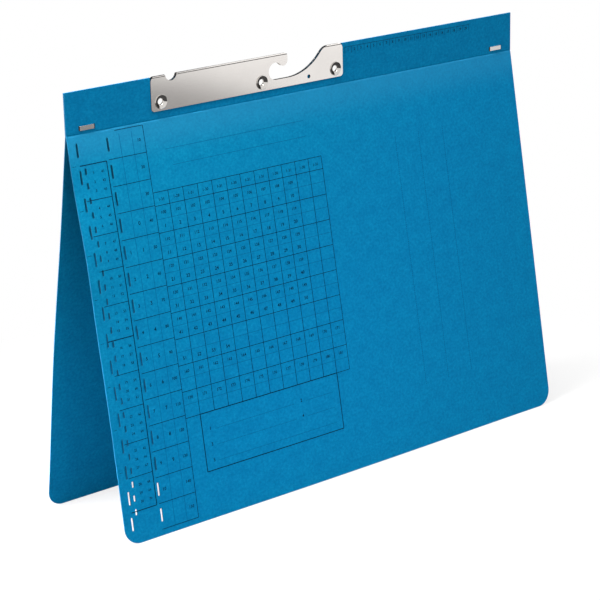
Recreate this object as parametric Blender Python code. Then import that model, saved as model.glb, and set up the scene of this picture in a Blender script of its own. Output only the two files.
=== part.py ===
"""Hanging fastener folder for A4 paper, standing open like a tent.

Two card covers meet in an upright strip along the top. A folded steel hanger with a hook is riveted
over the strip's edge, and two flat-wire staples close the strip near its ends. The front cover has
columns of slits for index tabs. Inside, on the back cover, a two-prong fastener holds punched paper.
"""

import math

import bmesh
import bpy
from mathutils import Vector

MM = 0.001

# Card covers
WIDTH = 318 * MM
PANEL_LENGTH = 216 * MM
STRIP_HEIGHT = 22.4 * MM
CARD = 0.42 * MM
CORNER_RADIUS = 9.5 * MM
SPREAD = math.radians(9.7)  # each cover leans this far out from the upright
CREASE_GAP = 0.3 * MM  # left open along each crease, where the real sheet bends
LAYER_GAP = 0.08 * MM  # between faces that lie on each other

# Slits for index tabs, in three columns along the front cover's left edge
SLIT_WIDTH = 1.1 * MM
LONG_SLIT_LENGTH = 7.3 * MM
LONG_SLIT_PITCH = 14.08 * MM
LONG_SLIT_DROP = 7.9 * MM  # first centre below the crease
LONG_SLIT_FOOT = 10 * MM  # least height of the last centre above the lower edge
OUTER_COLUMN = 5.3 * MM  # from the left edge
INNER_COLUMN = 24.2 * MM
SHORT_SLIT_LENGTH = 3.4 * MM
SHORT_SLIT_PITCH = 7.5 * MM
SHORT_SLIT_DROP = 19.2 * MM
SHORT_SLIT_FOOT = 15 * MM
SHORT_COLUMN = 8.6 * MM

# Hanger: depths run down from the top of its fold, and its hook is placed from its right end
STEEL = 0.4 * MM
HANGER_PLACE = 53.5 * MM  # its left end, from the strip's left end
HANGER_LENGTH = 131.9 * MM
HANGER_HEIGHT = 18.55 * MM
HANGER_RISE = 0.35 * MM  # its fold stands this far above the strip
HANGER_TOP_RADIUS = 3 * MM
HANGER_FOOT_RADIUS = 2 * MM
NOTCH_PLACE = 13.3 * MM  # from the hanger's left end
NOTCH_RADIUS = 3.8 * MM
NOTCH_DEPTH = 3.6 * MM
LOBE_WIDTH = 9.4 * MM  # its top, from where the ramp rounds over to the right end
LOBE_RADIUS = 8.9 * MM
RAMP_RADIUS = 30.7 * MM
RAMP_REACH = 8.9 * MM  # start of the ramp, right of the throat's centre
THROAT_DEPTH = 9.05 * MM  # its centre
THROAT_RADIUS = 4.7 * MM
NOSE_REACH = 8.6 * MM  # end of the nose, right of the throat's centre
NOSE_DEPTH = 6.85 * MM
NOSE_CORNER = 1.5 * MM
PILOT_REACH = 23.5 * MM  # small pierced hole, right of the throat's centre
PILOT_RISE = 3.2 * MM  # above the lower edge
PILOT_RADIUS = 1.1 * MM

# Hollow rivets through the hanger and the strip
RIVET_LEFT_INSET = 6.25 * MM  # from the hanger's left end
RIVET_RIGHT_INSET = 5.4 * MM  # from its right end
RIVET_THROAT_LAND = 9.6 * MM  # middle rivet, left of the throat's centre
RIVET_RISE = 4.75 * MM  # above the hanger's lower edge
RIVET_BORE = 2 * MM
RIVET_WALL = 0.35 * MM
RIVET_HEAD_CURL = 0.75 * MM
RIVET_CLINCH_CURL = 0.55 * MM
RIVET_CLEARANCE = 0.1 * MM

# Flat-wire staples at the strip's ends
STAPLE_INSET = 12.8 * MM  # centre, from the strip's end
STAPLE_RISE = 3 * MM  # centre, above the crease
STAPLE_LENGTH = 9.4 * MM
STAPLE_WIRE = 0.4 * MM
STAPLE_WIRE_WIDTH = 2.4 * MM
STAPLE_BEND = 0.25 * MM  # inside radius
STAPLE_CLINCH = 3.2 * MM

# Fastener on the back cover's inner face
PRONG_SPACING = 80 * MM
PRONG_DROP = 16.5 * MM  # below the crease
PRONG_WIDTH = 5 * MM
PRONG_LENGTH = 26 * MM  # folded flat, from the bend to the tip
PRONG_TAPER = 3 * MM
PRONG_TIP_WIDTH = 2.2 * MM
TONGUE_SHEET = 0.3 * MM
TONGUE_BEND = 0.2 * MM  # inside radius
SIDE_CLEARANCE = 0.3 * MM  # beside the prongs
HOLDER_END = 15 * MM  # beyond each prong
HOLDER_CARD = 0.3 * MM
HOLDER_FLANGE = 5 * MM
HOLDER_CORNER = 2 * MM
BAR_END = 12 * MM  # beyond each prong
BAR_SHEET = 0.3 * MM
BAR_FLANGE = 1.5 * MM
BAR_CORNER = 1.5 * MM
LOCK_LENGTH = 10 * MM
LOCK_SHEET = 0.25 * MM
LOCK_HOOK = 1 * MM  # reach under the bar's flange
LOCK_SETBACK = 18 * MM  # its centre, inward from the prong's bend

# Fineness of the round stretches
ROUND_STEPS = 8
FOLD_STEPS = 8
BEND_STEPS = 3
SLIT_STEPS = 4
RAMP_STEPS = 12
THROAT_STEPS = 20
CURL_STEPS = 5
RIVET_SIDES = 20
SMOOTH_ANGLE = math.radians(35)

# Places that follow from the sizes above
CARD_MIDDLE = LAYER_GAP / 2 + CARD / 2  # each strip's middle plane, from the folder's
OUTER_FACE = LAYER_GAP / 2 + CARD
CREASE_HEIGHT = PANEL_LENGTH * math.cos(SPREAD) + CARD * math.sin(SPREAD)
FOLD_RADIUS = OUTER_FACE + LAYER_GAP + STEEL
CARD_SETBACK = FOLD_RADIUS + LAYER_GAP  # how far the card stops short of the hanger's edge
HANGER_LEFT = HANGER_PLACE - WIDTH / 2
HANGER_TOP = STRIP_HEIGHT + HANGER_RISE
THROAT_FLOOR = THROAT_DEPTH + THROAT_RADIUS
RAMP_SLOPE = math.acos(1 - THROAT_FLOOR / (RAMP_RADIUS + LOBE_RADIUS))
RAMP_RUN = (RAMP_RADIUS + LOBE_RADIUS) * math.sin(RAMP_SLOPE)
LOBE_START = HANGER_LENGTH - LOBE_WIDTH
RAMP_START = LOBE_START - RAMP_RUN
THROAT_PLACE = RAMP_START - RAMP_REACH
NOSE_END = THROAT_PLACE + NOSE_REACH
RIVET_HOLE = RIVET_BORE + RIVET_WALL + RIVET_CLEARANCE
RIVET_DEPTH = HANGER_HEIGHT - RIVET_RISE
RIVET_PLACES = {
    "left": RIVET_LEFT_INSET,
    "middle": THROAT_PLACE - RIVET_THROAT_LAND,
    "right": HANGER_LENGTH - RIVET_RIGHT_INSET,
}
STAPLE_PLACE = WIDTH / 2 - STAPLE_INSET
BAR_LENGTH = PRONG_SPACING + 2 * BAR_END
HOLDER_LENGTH = PRONG_SPACING + 2 * HOLDER_END
LOCK_PLACE = PRONG_SPACING / 2 - LOCK_SETBACK

# Heights of the fastener's layers above the back cover's inner face
TONGUE_LEVEL = LAYER_GAP + TONGUE_SHEET / 2
HOLDER_FOOT_LEVEL = LAYER_GAP + HOLDER_CARD / 2
HOLDER_LEVEL = HOLDER_FOOT_LEVEL + TONGUE_SHEET + LAYER_GAP
BAR_UNDERSIDE = HOLDER_LEVEL + HOLDER_CARD / 2 + LAYER_GAP
BAR_LEVEL = BAR_UNDERSIDE + BAR_SHEET / 2
BAR_FLANGE_LEVEL = BAR_LEVEL + LOCK_SHEET + LAYER_GAP
PRONG_LEVEL = BAR_LEVEL + BAR_SHEET / 2 + LAYER_GAP + TONGUE_SHEET / 2
LOCK_HOOK_LEVEL = BAR_UNDERSIDE + LOCK_SHEET / 2
LOCK_SEAT = max(PRONG_LEVEL + TONGUE_SHEET / 2, BAR_FLANGE_LEVEL + BAR_SHEET / 2)
LOCK_LEVEL = LOCK_SEAT + LAYER_GAP + LOCK_SHEET / 2

# Half widths of the fastener's bent sheets, across the prong row
HOLDER_WALL = PRONG_WIDTH / 2 + SIDE_CLEARANCE + HOLDER_CARD / 2
HOLDER_EDGE = HOLDER_WALL + HOLDER_FLANGE
BAR_WALL = PRONG_WIDTH / 2 + SIDE_CLEARANCE + BAR_SHEET / 2
BAR_EDGE = BAR_WALL + BAR_SHEET / 2 + BAR_FLANGE
LOCK_WALL = BAR_EDGE + LAYER_GAP + LOCK_SHEET / 2


def arc(centre, radius, start, end, steps=ROUND_STEPS):
    """Points of a circle from one angle to another in degrees, both ends included."""
    turns = [math.radians(start + (end - start) * n / steps) for n in range(steps + 1)]
    return [(centre[0] + radius * math.cos(t), centre[1] + radius * math.sin(t)) for t in turns]


def circle(centre, radius, sides=RIVET_SIDES):
    """A closed circle."""
    return arc(centre, radius, 0, 360, sides)[:-1]


def rectangle(centre, width, height):
    """A closed rectangle around a centre."""
    x, y = centre
    signs = ((-1, -1), (1, -1), (1, 1), (-1, 1))
    return [(x + a * width / 2, y + b * height / 2) for a, b in signs]


def rounded_rectangle(width, height, radius):
    """A closed rectangle around the origin with round corners."""
    x = width / 2 - radius
    y = height / 2 - radius
    corners = ((x, y, 0), (-x, y, 90), (-x, -y, 180), (x, -y, 270))
    return [p for a, b, turn in corners for p in arc((a, b), radius, turn, turn + 90)]


def slit(x, z, length):
    """A slit with round ends that runs down the cover."""
    reach = (length - SLIT_WIDTH) / 2
    upper = arc((x, z + reach), SLIT_WIDTH / 2, 0, 180, SLIT_STEPS)
    lower = arc((x, z - reach), SLIT_WIDTH / 2, 180, 360, SLIT_STEPS)
    return upper + lower


def rounded_path(corners, radius):
    """A path through corners, with an arc at each inner one."""
    points = [Vector(c) for c in corners]
    path = [tuple(points[0])]
    for before, corner, after in zip(points, points[1:], points[2:]):
        back = (before - corner).normalized()
        onward = (after - corner).normalized()
        half = back.angle(onward) / 2
        middle = corner + (back + onward).normalized() * (radius / math.sin(half))
        first = corner + back * (radius / math.tan(half)) - middle
        last = corner + onward * (radius / math.tan(half)) - middle
        start = math.atan2(first.y, first.x)
        turn = (math.atan2(last.y, last.x) - start + math.pi) % math.tau - math.pi
        path += arc(middle, radius, math.degrees(start), math.degrees(start + turn), BEND_STEPS)
    return path + [tuple(points[-1])]


def sheet_profile(path, thickness):
    """The closed outline of a sheet of even thickness whose middle follows a path."""
    points = [Vector(p) for p in path]
    runs = [(b - a).normalized() for a, b in zip(points, points[1:])]
    left = []
    right = []
    for n, point in enumerate(points):
        before = runs[max(n - 1, 0)]
        after = runs[min(n, len(runs) - 1)]
        across = (before + after).orthogonal().normalized()
        reach = thickness / 2 / across.dot(after.orthogonal())
        left.append(tuple(point + across * reach))
        right.append(tuple(point - across * reach))
    return left + right[::-1]


def extruded(outline, holes, low, high, along):
    """A solid between two planes, made from an outline with holes in the plane across an axis."""
    place = {
        "X": lambda a, b: (low, a, b),
        "Y": lambda a, b: (a, low, b),
        "Z": lambda a, b: (a, b, low),
    }[along]
    shape = bmesh.new()
    edges = []
    for loop in (outline, *holes):
        corners = [shape.verts.new(place(a, b)) for a, b in loop]
        edges += [shape.edges.new(pair) for pair in zip(corners, corners[1:] + corners[:1])]
    bmesh.ops.triangle_fill(shape, edges=edges, use_beauty=True)
    raised = bmesh.ops.extrude_face_region(shape, geom=shape.faces[:])["geom"]
    corners = [v for v in raised if isinstance(v, bmesh.types.BMVert)]
    step = [high - low if axis == along else 0 for axis in "XYZ"]
    bmesh.ops.translate(shape, verts=corners, vec=step)
    bmesh.ops.recalc_face_normals(shape, faces=shape.faces)
    return shape


def turned(profile, sides):
    """A ring: a closed profile of (radius, depth) points turned round the Y axis."""
    shape = bmesh.new()
    corners = [shape.verts.new((radius, depth, 0)) for radius, depth in profile]
    edges = [shape.edges.new(pair) for pair in zip(corners, corners[1:] + corners[:1])]
    bmesh.ops.spin(
        shape,
        geom=corners + edges,
        axis=(0, 1, 0),
        angle=math.tau,
        steps=sides,
        use_merge=True,
    )
    bmesh.ops.recalc_face_normals(shape, faces=shape.faces)
    return shape


def finish(name, colour, roughness, metallic):
    """A plain material."""
    material = bpy.data.materials.new(name)
    material.use_nodes = True
    shader = material.node_tree.nodes["Principled BSDF"]
    shader.inputs["Base Color"].default_value = (*colour, 1)
    shader.inputs["Roughness"].default_value = roughness
    shader.inputs["Metallic"].default_value = metallic
    return material


def empty(name, location, lean):
    """A guide that carries pieces, turned about X."""
    guide = bpy.data.objects.new(name, None)
    guide.location = location
    guide.rotation_euler = (lean, 0, 0)
    bpy.context.scene.collection.objects.link(guide)
    return guide


def piece(name, shape, material, parent, location=(0, 0, 0)):
    """One named solid of the folder."""
    mesh = bpy.data.meshes.new(name)
    shape.to_mesh(mesh)
    shape.free()
    mesh.materials.append(material)
    mesh.shade_smooth()
    mesh.set_sharp_from_angle(angle=SMOOTH_ANGLE)
    solid = bpy.data.objects.new(name, mesh)
    solid.parent = parent
    solid.location = location
    bpy.context.scene.collection.objects.link(solid)
    return solid


def stamp(solid, shape):
    """Trim a bent sheet to a stamped outline, which stays as a hidden cutter."""
    cutter = piece(solid.name + "_outline", shape, None, solid.parent, solid.location)
    cutter.hide_render = True
    cutter.display_type = "WIRE"
    trim = solid.modifiers.new("outline", "BOOLEAN")
    trim.operation = "INTERSECT"
    trim.object = cutter


def hook_edge(setback):
    """The hanger's top edge from left to right, moved into the steel by a setback."""
    notch_centre = (NOTCH_PLACE, NOTCH_RADIUS - NOTCH_DEPTH)
    notch_radius = NOTCH_RADIUS + setback
    notch_angle = math.degrees(math.asin((notch_centre[1] + setback) / notch_radius))
    notch = arc(notch_centre, notch_radius, 180 + notch_angle, 360 - notch_angle)

    nose_corner = max(NOSE_CORNER - setback, LAYER_GAP)
    nose_x = NOSE_END - setback - nose_corner
    nose = arc((nose_x, -setback - nose_corner), nose_corner, 90, 0, BEND_STEPS)

    # The barb's arc touches the nose's end and depth, and runs smoothly into the throat
    drop = THROAT_DEPTH - NOSE_DEPTH
    half = NOSE_REACH - drop + THROAT_RADIUS
    barb_radius = half - math.sqrt(half**2 - NOSE_REACH**2 - drop**2 + THROAT_RADIUS**2)
    barb_centre = (NOSE_END - barb_radius, barb_radius - NOSE_DEPTH)
    throat_centre = (THROAT_PLACE, -THROAT_DEPTH)
    meeting = math.degrees(
        math.atan2(barb_centre[1] - throat_centre[1], barb_centre[0] - throat_centre[0])
    )
    barb = arc(barb_centre, barb_radius - setback, 0, meeting - 180)
    throat = arc(throat_centre, THROAT_RADIUS + setback, meeting, 270, THROAT_STEPS)

    # The ramp leaves the throat's floor and rounds over into the lobe
    steep = math.degrees(RAMP_SLOPE)
    ramp_centre = (RAMP_START, RAMP_RADIUS - THROAT_FLOOR)
    ramp = arc(ramp_centre, RAMP_RADIUS + setback, 270, 270 + steep, RAMP_STEPS)
    lobe = arc((LOBE_START, -LOBE_RADIUS), LOBE_RADIUS - setback, 90 + steep, 90)
    return notch + nose + barb + throat[1:] + ramp + lobe[1:]


def hanger_outline():
    """The hanger's whole edge, clockwise from its foot on the left."""
    top = HANGER_TOP_RADIUS
    foot = HANGER_FOOT_RADIUS
    left = arc((foot, foot - HANGER_HEIGHT), foot, 270, 180) + arc((top, -top), top, 180, 90)
    right_top = arc((HANGER_LENGTH - top, -top), top, 90, 0)
    right_foot = arc((HANGER_LENGTH - foot, foot - HANGER_HEIGHT), foot, 0, -90)
    return left + hook_edge(0) + right_top + right_foot


def strip_outline():
    """A cover's strip above its crease, cut away behind the hanger's notch and hook."""
    step = HANGER_TOP_RADIUS - math.sqrt(CARD_SETBACK * (2 * HANGER_TOP_RADIUS - CARD_SETBACK))
    left = HANGER_LEFT + step
    right = HANGER_LEFT + HANGER_LENGTH - step
    tuck = HANGER_TOP - CARD_SETBACK
    hook = [(HANGER_LEFT + x, HANGER_TOP + z) for x, z in hook_edge(CARD_SETBACK)]
    return [
        (-WIDTH / 2, CREASE_GAP / 2),
        (-WIDTH / 2, STRIP_HEIGHT),
        (left, STRIP_HEIGHT),
        (left, tuck),
        *hook,
        (right, tuck),
        (right, STRIP_HEIGHT),
        (WIDTH / 2, STRIP_HEIGHT),
        (WIDTH / 2, CREASE_GAP / 2),
    ]


def strip_holes():
    """Holes for the rivets and slots for the staples' legs."""
    depth = HANGER_TOP - RIVET_DEPTH
    holes = [circle((HANGER_LEFT + place, depth), RIVET_HOLE) for place in RIVET_PLACES.values()]
    width = STAPLE_WIRE + 2 * STAPLE_BEND + 2 * LAYER_GAP
    height = STAPLE_WIRE_WIDTH + 2 * LAYER_GAP
    leg = (STAPLE_LENGTH - STAPLE_WIRE) / 2
    for middle in (-STAPLE_PLACE, STAPLE_PLACE):
        holes += [rectangle((middle + x, STAPLE_RISE), width, height) for x in (-leg, leg)]
    return holes


def panel_outline():
    """A cover below its crease, with round lower corners."""
    x = WIDTH / 2 - CORNER_RADIUS
    z = CORNER_RADIUS - PANEL_LENGTH
    top = [(WIDTH / 2, -CREASE_GAP / 2), (-WIDTH / 2, -CREASE_GAP / 2)]
    left = arc((-x, z), CORNER_RADIUS, 180, 270)
    return top + left + arc((x, z), CORNER_RADIUS, 270, 360)


def slit_column(place, drop, pitch, foot, length):
    """A column of slits from a first drop below the crease down to the least height at the foot."""
    count = math.floor((PANEL_LENGTH - drop - foot) / pitch) + 1
    return [slit(place - WIDTH / 2, -drop - pitch * row, length) for row in range(count)]


def tab_slits():
    """The three columns of slits in the front cover."""
    long_slits = (LONG_SLIT_DROP, LONG_SLIT_PITCH, LONG_SLIT_FOOT, LONG_SLIT_LENGTH)
    short_slits = (SHORT_SLIT_DROP, SHORT_SLIT_PITCH, SHORT_SLIT_FOOT, SHORT_SLIT_LENGTH)
    return [
        *slit_column(OUTER_COLUMN, *long_slits),
        *slit_column(SHORT_COLUMN, *short_slits),
        *slit_column(INNER_COLUMN, *long_slits),
    ]


def make_covers(front_hinge, back_hinge, spine):
    """Both sheets of card, each split at its crease into a strip and a panel."""
    card = finish("blue_card", (0.002, 0.2, 0.5), 0.8, 0)
    for name, middle in (("front_cover_strip", -CARD_MIDDLE), ("back_cover_strip", CARD_MIDDLE)):
        sides = (middle - CARD / 2, middle + CARD / 2)
        piece(name, extruded(strip_outline(), strip_holes(), *sides, "Y"), card, spine)
    front = extruded(panel_outline(), tab_slits(), 0, CARD, "Y")
    piece("front_cover_panel", front, card, front_hinge)
    back = extruded(panel_outline(), [], -CARD, 0, "Y")
    piece("back_cover_panel", back, card, back_hinge)


def make_hanger(spine):
    """One sheet of steel folded over the strip and stamped with a notch and a hook."""
    steel = finish("nickelled_steel", (0.75, 0.73, 0.7), 0.3, 1)
    middle = FOLD_RADIUS - STEEL / 2
    below = -2 * HANGER_HEIGHT
    fold = arc((0, -FOLD_RADIUS), middle, 180, 0, FOLD_STEPS)
    profile = sheet_profile([(-middle, below), *fold, (middle, below)], STEEL)
    blank = extruded(profile, [], -HANGER_HEIGHT, HANGER_LENGTH + HANGER_HEIGHT, "X")
    hanger = piece("hanger", blank, steel, spine, (HANGER_LEFT, 0, HANGER_TOP))
    holes = [circle((place, -RIVET_DEPTH), RIVET_HOLE) for place in RIVET_PLACES.values()]
    pilot = (THROAT_PLACE + PILOT_REACH, PILOT_RISE - HANGER_HEIGHT)
    holes.append(circle(pilot, PILOT_RADIUS))
    stamp(hanger, extruded(hanger_outline(), holes, -2 * FOLD_RADIUS, 2 * FOLD_RADIUS, "Y"))


def make_rivets(spine):
    """Tubes whose two ends are curled over onto the hanger."""
    nickel = finish("nickelled_rivet", (0.7, 0.68, 0.66), 0.2, 1)
    seat = FOLD_RADIUS + LAYER_GAP
    tube = RIVET_BORE + RIVET_WALL / 2
    head = arc((tube + RIVET_HEAD_CURL, -seat), RIVET_HEAD_CURL, 360, 180, CURL_STEPS)
    clinch = arc((tube + RIVET_CLINCH_CURL, seat), RIVET_CLINCH_CURL, 180, 0, CURL_STEPS)
    profile = sheet_profile(head + clinch, RIVET_WALL)
    for side, place in RIVET_PLACES.items():
        where = (HANGER_LEFT + place, 0, HANGER_TOP - RIVET_DEPTH)
        piece("rivet_" + side, turned(profile, RIVET_SIDES), nickel, spine, where)


def make_staples(spine):
    """Flat wire pushed through both strips and bent inward behind them."""
    wire = finish("staple_wire", (0.7, 0.7, 0.7), 0.3, 1)
    leg = (STAPLE_LENGTH - STAPLE_WIRE) / 2
    level = OUTER_FACE + LAYER_GAP + STAPLE_WIRE / 2
    tip = leg - STAPLE_CLINCH
    corners = [(-tip, level), (-leg, level), (-leg, -level), (leg, -level), (leg, level), (tip, level)]
    profile = sheet_profile(rounded_path(corners, STAPLE_BEND + STAPLE_WIRE / 2), STAPLE_WIRE)
    for side, middle in (("left", -STAPLE_PLACE), ("right", STAPLE_PLACE)):
        bent = extruded(profile, [], -STAPLE_WIRE_WIDTH / 2, STAPLE_WIRE_WIDTH / 2, "Z")
        piece("staple_" + side, bent, wire, spine, (middle, 0, STAPLE_RISE))


def joggled_sheet(edge, edge_level, wall, level, thickness, length):
    """A sheet that runs along the prong row and steps to another level between its two walls."""
    half = [(edge, edge_level), (wall, edge_level), (wall, level)]
    path = [(-height, across) for across, height in half]
    path += [(-height, -across) for across, height in half[::-1]]
    return extruded(sheet_profile(path, thickness), [], -length / 2, length / 2, "X")


def prong_slots():
    """The two slots that the prongs come up through."""
    width = TONGUE_SHEET + 2 * TONGUE_BEND + 2 * LAYER_GAP
    height = PRONG_WIDTH + SIDE_CLEARANCE
    return [rectangle((x, 0), width, height) for x in (-PRONG_SPACING / 2, PRONG_SPACING / 2)]


def make_tongue(steel, hinge, where):
    """A steel tongue whose two ends come up as prongs and lie folded inward, tapered at their tips."""
    bend = PRONG_SPACING / 2
    tip = bend - PRONG_LENGTH
    neck = tip + PRONG_TAPER
    half = [(bend, -TONGUE_LEVEL), (bend, -PRONG_LEVEL), (neck, -PRONG_LEVEL), (tip, -PRONG_LEVEL)]
    corners = [(-x, level) for x, level in half[::-1]] + half
    path = rounded_path(corners[1:-1], TONGUE_BEND + TONGUE_SHEET / 2)
    profile = sheet_profile([corners[0], *path, corners[-1]], TONGUE_SHEET)
    shape = extruded(profile, [], -PRONG_WIDTH / 2, PRONG_WIDTH / 2, "Z")
    for corner in shape.verts:
        if abs(corner.co.x) < neck - PRONG_TAPER / 2 and corner.co.y < -BAR_LEVEL:
            corner.co.z *= PRONG_TIP_WIDTH / PRONG_WIDTH
    piece("fastener_tongue", shape, steel, hinge, where)


def make_fastener(hinge):
    """Tongue, card holder, cover bar and two slide locks on the back cover's inner face."""
    steel = finish("fastener_steel", (0.62, 0.62, 0.62), 0.35, 1)
    card = finish("holder_card", (0.002, 0.2, 0.5), 0.8, 0)
    where = (0, -CARD, -PRONG_DROP)
    make_tongue(steel, hinge, where)

    blank = 2 * HOLDER_LENGTH
    sheet = joggled_sheet(
        HOLDER_EDGE, HOLDER_FOOT_LEVEL, HOLDER_WALL, HOLDER_LEVEL, HOLDER_CARD, blank
    )
    holder = piece("fastener_holder", sheet, card, hinge, where)
    outline = rounded_rectangle(HOLDER_LENGTH, 2 * HOLDER_EDGE, HOLDER_CORNER)
    stamp(holder, extruded(outline, prong_slots(), -2 * LOCK_LEVEL, LOCK_LEVEL, "Y"))

    blank = 2 * BAR_LENGTH
    sheet = joggled_sheet(BAR_EDGE, BAR_FLANGE_LEVEL, BAR_WALL, BAR_LEVEL, BAR_SHEET, blank)
    bar = piece("fastener_bar", sheet, steel, hinge, where)
    outline = rounded_rectangle(BAR_LENGTH, 2 * BAR_EDGE, BAR_CORNER)
    stamp(bar, extruded(outline, prong_slots(), -2 * LOCK_LEVEL, LOCK_LEVEL, "Y"))

    hook = BAR_EDGE - LOCK_HOOK
    for side, x in (("left", -LOCK_PLACE), ("right", LOCK_PLACE)):
        clip = joggled_sheet(hook, LOCK_HOOK_LEVEL, LOCK_WALL, LOCK_LEVEL, LOCK_SHEET, LOCK_LENGTH)
        piece("slide_lock_" + side, clip, steel, hinge, (x, -CARD, -PRONG_DROP))


def main():
    for old in list(bpy.data.objects):
        bpy.data.objects.remove(old)
    spine = empty("spine", (0, 0, CREASE_HEIGHT), 0)
    front_hinge = empty("front_cover_hinge", (0, -OUTER_FACE, CREASE_HEIGHT), -SPREAD)
    back_hinge = empty("back_cover_hinge", (0, OUTER_FACE, CREASE_HEIGHT), SPREAD)
    make_covers(front_hinge, back_hinge, spine)
    make_hanger(spine)
    make_rivets(spine)
    make_staples(spine)
    make_fastener(back_hinge)


main()
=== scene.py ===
import math

import bmesh
import bpy
from mathutils import Matrix, Vector
from mathutils.geometry import delaunay_2d_cdt


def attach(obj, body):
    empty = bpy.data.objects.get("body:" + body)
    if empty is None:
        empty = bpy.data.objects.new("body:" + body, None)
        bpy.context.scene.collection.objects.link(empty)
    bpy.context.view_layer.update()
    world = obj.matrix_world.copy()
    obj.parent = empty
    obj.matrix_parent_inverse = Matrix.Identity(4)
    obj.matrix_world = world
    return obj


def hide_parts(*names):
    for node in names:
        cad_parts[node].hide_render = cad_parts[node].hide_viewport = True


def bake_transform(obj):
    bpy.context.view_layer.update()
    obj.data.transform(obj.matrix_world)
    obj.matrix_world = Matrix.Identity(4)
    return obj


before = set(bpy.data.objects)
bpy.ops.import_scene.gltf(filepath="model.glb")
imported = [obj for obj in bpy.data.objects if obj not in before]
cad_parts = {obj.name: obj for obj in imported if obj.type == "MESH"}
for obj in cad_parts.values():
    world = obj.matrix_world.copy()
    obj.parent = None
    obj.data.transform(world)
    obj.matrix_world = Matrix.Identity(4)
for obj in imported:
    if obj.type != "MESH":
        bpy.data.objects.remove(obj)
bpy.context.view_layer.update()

MM = 0.001

# Card covers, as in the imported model
WIDTH = 318 * MM
PANEL_LENGTH = 216 * MM
STRIP_HEIGHT = 22.4 * MM
CARD = 0.42 * MM
CORNER_RADIUS = 9.5 * MM
SPREAD = math.radians(9.7)
LAYER_GAP = 0.08 * MM
OUTER_FACE = LAYER_GAP / 2 + CARD
CREASE_HEIGHT = PANEL_LENGTH * math.cos(SPREAD) + CARD * math.sin(SPREAD)
LEFT = -WIDTH / 2

# The crease: where the sheet starts and ends to turn, and the groove that the scoring leaves
CREASE_HALF = 0.3 * MM
GROOVE_DEPTH = 0.11 * MM
GROOVE_TOP = 0.6 * MM
GROOVE_FOOT = 0.8 * MM
CREASE_UPPER = (4.2, 3.5, 2.8, 2, 1.2, 0.8, 0.6, 0.45, 0.3, 0.15)
CREASE_LOWER = (0, -0.15, -0.3, -0.45, -0.6, -0.8, -1.1, -1.5, -2.2)
CREASE_ROWS = [s * MM for s in CREASE_UPPER + CREASE_LOWER]
FOLD_TOP = 1.3 * MM  # rows below this run unbroken from edge to edge, under the staples

# How far the covers bow out of their planes, and the waves of the front cover's slitted edge
FRONT_BOW_LEFT = 1.7 * MM
FRONT_BOW_RIGHT = 0.1 * MM
BACK_BOW = 1.5 * MM
BACK_BOW_START = 0.16  # of the panel's length, below the fastener
WAVE_HEIGHT = 0.6 * MM
WAVE_LENGTH = 90 * MM
WAVE_START = 47 * MM
WAVE_END = 150 * MM
WAVE_REACH = 28 * MM
WAVE_EASE = 0.1  # of the panel's length, over which the waves set in
BULGE = 1.2 * MM  # of the front cover's lower middle
BULGE_START = 0.35  # of the panel's length
BULGE_LEFT = (0.1, 0.35)  # of the width: where the bulge sets in, and over how much
BULGE_RIGHT = (0.95, 0.4)  # of the width: where it has ended, and over how much it fades
CURL = 0.5 * MM  # of the front cover's lower left corner
CURL_START = 0.65  # of the panel's length
CURL_END = 0.2  # of the width
FLARE = 0.2 * MM  # of the card below the hanger, which pinches it
FLARE_FADE = 12 * MM

# Slits for index tabs
SLIT_WIDTH = 1.1 * MM
LONG_SLIT = 7.3 * MM
LONG_PITCH = 14.08 * MM
LONG_DROP = 7.9 * MM
LONG_COUNT = 15
OUTER_COLUMN = 5.3 * MM
INNER_COLUMN = 24.2 * MM
SHORT_SLIT = 3.4 * MM
SHORT_PITCH = 7.5 * MM
SHORT_DROP = 19.2 * MM
SHORT_COUNT = 25
SHORT_COLUMN = 8.6 * MM

# Hanger
STEEL = 0.4 * MM
HANGER_INSET = 53.5 * MM  # from the strip's left end
HANGER_STAND = 0.35 * MM  # over the strip's top edge
HANGER_LEFT = LEFT + HANGER_INSET
HANGER_LENGTH = 131.9 * MM
HANGER_HEIGHT = 18.55 * MM
HANGER_TOP = STRIP_HEIGHT + HANGER_STAND
HANGER_TOP_RADIUS = 3 * MM
FOLD_RADIUS = OUTER_FACE + LAYER_GAP + STEEL
CARD_SETBACK = 2 * MM  # how far the card stays back from the hanger's cut edges
NOTCH_PLACE = 13.3 * MM
NOTCH_RADIUS = 3.8 * MM
NOTCH_DEPTH = 3.6 * MM
THROAT_PLACE = 83.6 * MM
THROAT_DEPTH = 9.05 * MM
THROAT_RADIUS = 4.7 * MM
NOSE_REACH = 8.6 * MM
NOSE_DEPTH = 6.85 * MM
NOSE_CORNER = 1.5 * MM
RAMP_START = 92.5 * MM
RAMP_RADIUS = 30.7 * MM
LOBE_RADIUS = 8.9 * MM
PILOT_PLACE = (107.1 * MM, 15.35 * MM)
PILOT_RADIUS = 1.1 * MM

# Rivets and staples
RIVET_PLACES = {"left": 6.25 * MM, "middle": 74 * MM, "right": 126.5 * MM}
RIVET_DEPTH = 13.8 * MM
RIVET_BORE = 1.55 * MM
RIVET_TUBE = 2.35 * MM
RIVET_HOLE = 2.45 * MM
RIVET_GAP = 0.04 * MM
RIVET_SEAT = FOLD_RADIUS + RIVET_GAP
RIVET_SIDES = 72
HEAD_RIM = 3.8 * MM
HEAD_CREST = 3.66 * MM
HEAD_RISE = 0.43 * MM
HEAD_WALL = 0.34 * MM  # of the head's upright outer side
HEAD_NECK = (2.4 * MM, 0.02 * MM)  # where the head's funnel meets the tube
CLINCH_RIM = 3.45 * MM
CLINCH_CREST = 3.1 * MM
CLINCH_RISE = 0.42 * MM
FLARE_DEPTH = 0.9 * MM  # of the flares below their seats
STAPLE_INSET = 12.8 * MM  # from the strip's end
STAPLE_PLACE = WIDTH / 2 - STAPLE_INSET
STAPLE_RISE = 3 * MM
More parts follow.
